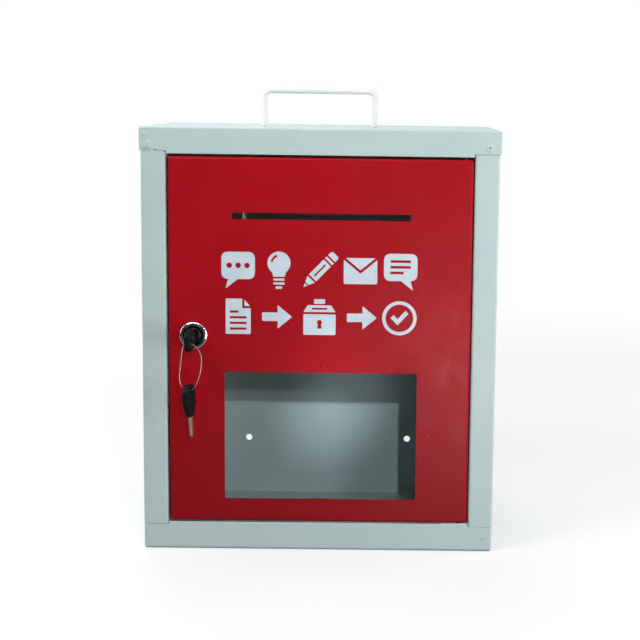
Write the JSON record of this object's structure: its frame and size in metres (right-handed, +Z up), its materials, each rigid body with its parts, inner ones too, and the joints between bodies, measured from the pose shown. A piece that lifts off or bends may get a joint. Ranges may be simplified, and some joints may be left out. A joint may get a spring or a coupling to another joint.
{
  "type": "suggestion box",
  "caption": "Lockable sheet-steel collection box with a hinged front door, posting slot, clear viewing window, cam lock with keys on a wire ring, and a wire carrying handle on top",
  "frame": {"origin": "centre of the underside of the body, where the box stands", "axes": "+Z up through the carrying handle, -Y out of the front door, +X to the right of someone who faces the door"},
  "size_m": [0.3, 0.1851, 0.3935],
  "materials": {
    "body_paint": "semi-gloss pale grey-green powder coat",
    "door_paint": "semi-gloss red powder coat with a fine orange peel",
    "handle_white": "white powder coat",
    "clear_pane": "clear cast acrylic sheet",
    "chrome": "polished chrome plate",
    "steel": "zinc-plated steel",
    "key_steel": "nickel-plated steel",
    "wire": "bright drawn wire",
    "black_plastic": "moulded black plastic"
  },
  "bodies": {
    "body": {"top_panel": "body_paint", "bottom_panel": "body_paint", "left_side_panel": "body_paint", "right_side_panel": "body_paint", "back_panel": "body_paint", "handle": "handle_white", "handle_screw_left": "steel", "handle_screw_right": "steel", "handle_washer_left": "steel", "handle_washer_right": "steel", "hinge_bracket_upper": "body_paint", "hinge_bracket_lower": "body_paint", "hinge_pin_upper": "steel", "hinge_pin_lower": "steel", "door_stop_upper": "body_paint", "door_stop_lower": "body_paint"},
    "door": {"door_panel": "door_paint", "slot_guide": "body_paint", "window_pane": "clear_pane", "pane_clip_top": "steel", "pane_clip_right": "steel", "pane_clip_bottom": "steel", "pane_clip_left": "steel", "lock_housing": "chrome", "lock_nut": "steel"},
    "lock_core": {"lock_plug": "chrome", "lock_cam": "steel", "cam_washer": "steel", "cam_screw": "steel"},
    "key_1": {"key_1_head": "black_plastic", "key_1_blade": "key_steel"},
    "key_ring_loop": {"key_ring": "wire"},
    "key_2": {"key_2_head": "black_plastic", "key_2_blade": "key_steel"}
  },
  "joints": [
    {"name": "door_hinge", "type": "hinge", "parent": "body", "child": "door", "pos_m": [0.1202, -0.071, 0.0248], "axis": [0, 0, 1], "range_deg": [0, 115]},
    {"name": "lock_turn", "type": "hinge", "parent": "door", "child": "lock_core", "pos_m": [-0.1054, -0.075, 0.1858], "axis": [0, 1, 0], "range_deg": [0, 90]},
    {"name": "key_slide", "type": "slide", "parent": "lock_core", "child": "key_1", "axis": [0, -1, 0], "range_m": [0, 0.012]},
    {"name": "ring_swing", "type": "hinge", "parent": "key_1", "child": "key_ring_loop", "pos_m": [-0.1054, -0.1015, 0.1858], "axis": [1, 0, 0], "range_deg": [-75, 9]},
    {"name": "key_2_swing", "type": "hinge", "parent": "key_ring_loop", "child": "key_2", "pos_m": [-0.1054, -0.1015, 0.1446], "axis": [1, 0, 0], "range_deg": [-25, 9]}
  ]
}
